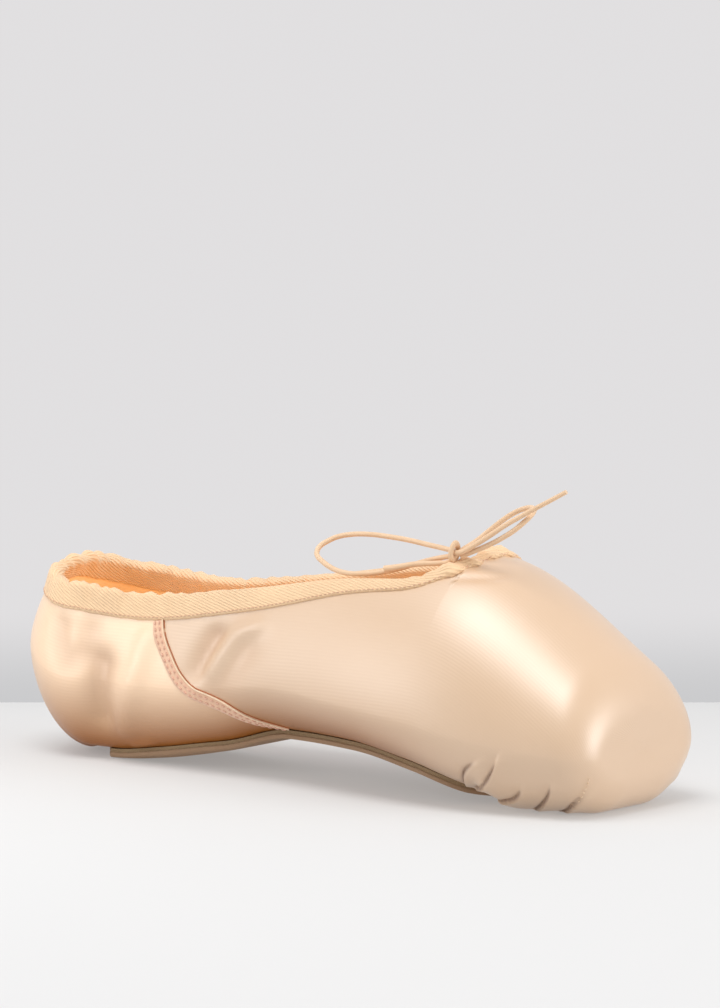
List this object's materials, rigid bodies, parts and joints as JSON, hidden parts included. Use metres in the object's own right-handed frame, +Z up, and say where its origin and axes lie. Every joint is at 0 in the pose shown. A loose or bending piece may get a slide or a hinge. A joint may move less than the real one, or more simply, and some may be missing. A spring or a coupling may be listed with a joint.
{
  "type": "pointe shoe",
  "caption": "Ballet pointe shoe: hollow satin upper with a flat toe platform, thin cupped outsole, insole, tape binding round the collar and a thin drawstring bow.",
  "frame": {"origin": "on the floor, midway between the heel back and the toe platform, on the shoe's centre line", "axes": "+X towards the toe, +Z up; the shoe is the same on both sides of y = 0 apart from its bow, which lies on the -Y side"},
  "size_m": [0.2259, 0.0804, 0.0944],
  "materials": {
    "satin": "pale peach satin with a soft sheen",
    "sole_leather": "buffed brown leather with a fuzzy lighter edge",
    "canvas": "matt peach cotton lining",
    "tape": "matt cotton twill tape",
    "cord": "matt woven cotton drawstring"
  },
  "bodies": {
    "root": {"upper": "satin", "outsole": "sole_leather", "insole": "canvas", "binding": "tape", "bow_knot": "cord", "bow_left_loop": "cord", "bow_left_end": "cord", "bow_right_loop": "cord", "bow_right_end": "cord"}
  },
  "joints": []
}
